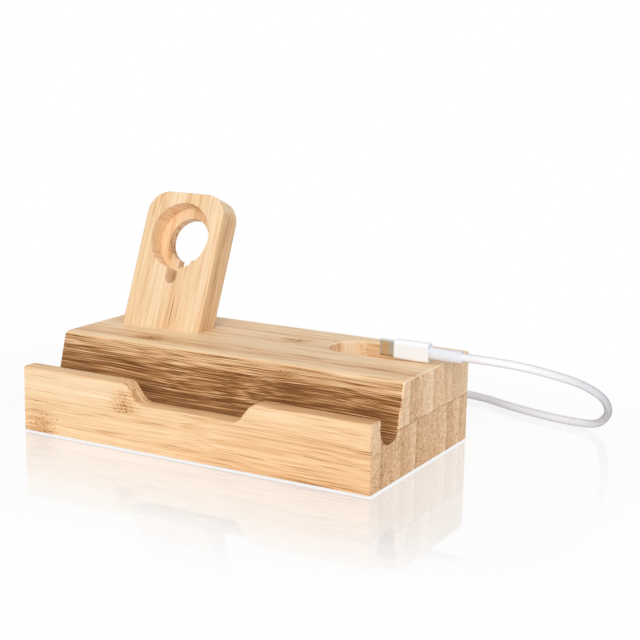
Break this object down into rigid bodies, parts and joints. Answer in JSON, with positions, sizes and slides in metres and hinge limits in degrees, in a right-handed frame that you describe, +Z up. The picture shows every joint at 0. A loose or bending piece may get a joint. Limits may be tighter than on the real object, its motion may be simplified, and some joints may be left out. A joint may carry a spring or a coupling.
{
  "type": "charging station organizer",
  "caption": "Bamboo charging dock with a long slot for a leaning device, a case pocket, a tilted charger stand, rubber feet and a white charging lead.",
  "frame": {"origin": "middle of the block's footprint, on the surface that its foot pads stand on", "axes": "+X along the block to the right as seen from the front, +Y from the front rail to the back, +Z up"},
  "size_m": [0.2117, 0.1483, 0.0915],
  "materials": {
    "bamboo_rail": "satin",
    "bamboo_board": "satin",
    "bamboo_stand": "satin",
    "beech_dowel": "matte",
    "silicone_pad": "matte",
    "lead_jacket": "satin",
    "plug_plastic": "gloss",
    "relief_plastic": "satin",
    "plug_steel": "satin",
    "contact_gold": "polished",
    "usb_insulator": "satin",
    "tie_strap": "matte"
  },
  "bodies": {
    "root": {"front_rail": "bamboo_rail", "lower_board": "bamboo_board", "upper_board": "bamboo_board", "charger_stand": "bamboo_stand", "stand_dowels": "beech_dowel", "foot_pad_front_left": "silicone_pad", "foot_pad_front_right": "silicone_pad", "foot_pad_rear_left": "silicone_pad", "foot_pad_rear_right": "silicone_pad", "plug_tip": "plug_steel", "plug_contacts": "contact_gold", "plug_housing": "plug_plastic", "plug_strain_relief": "relief_plastic", "cable_loop": "lead_jacket", "cable_coil": "lead_jacket", "cable_tail": "lead_jacket", "coil_tie": "tie_strap", "usb_strain_relief": "relief_plastic", "usb_housing": "plug_plastic", "usb_shell": "plug_steel", "usb_tongue": "usb_insulator", "usb_contacts": "contact_gold"}
  },
  "joints": []
}
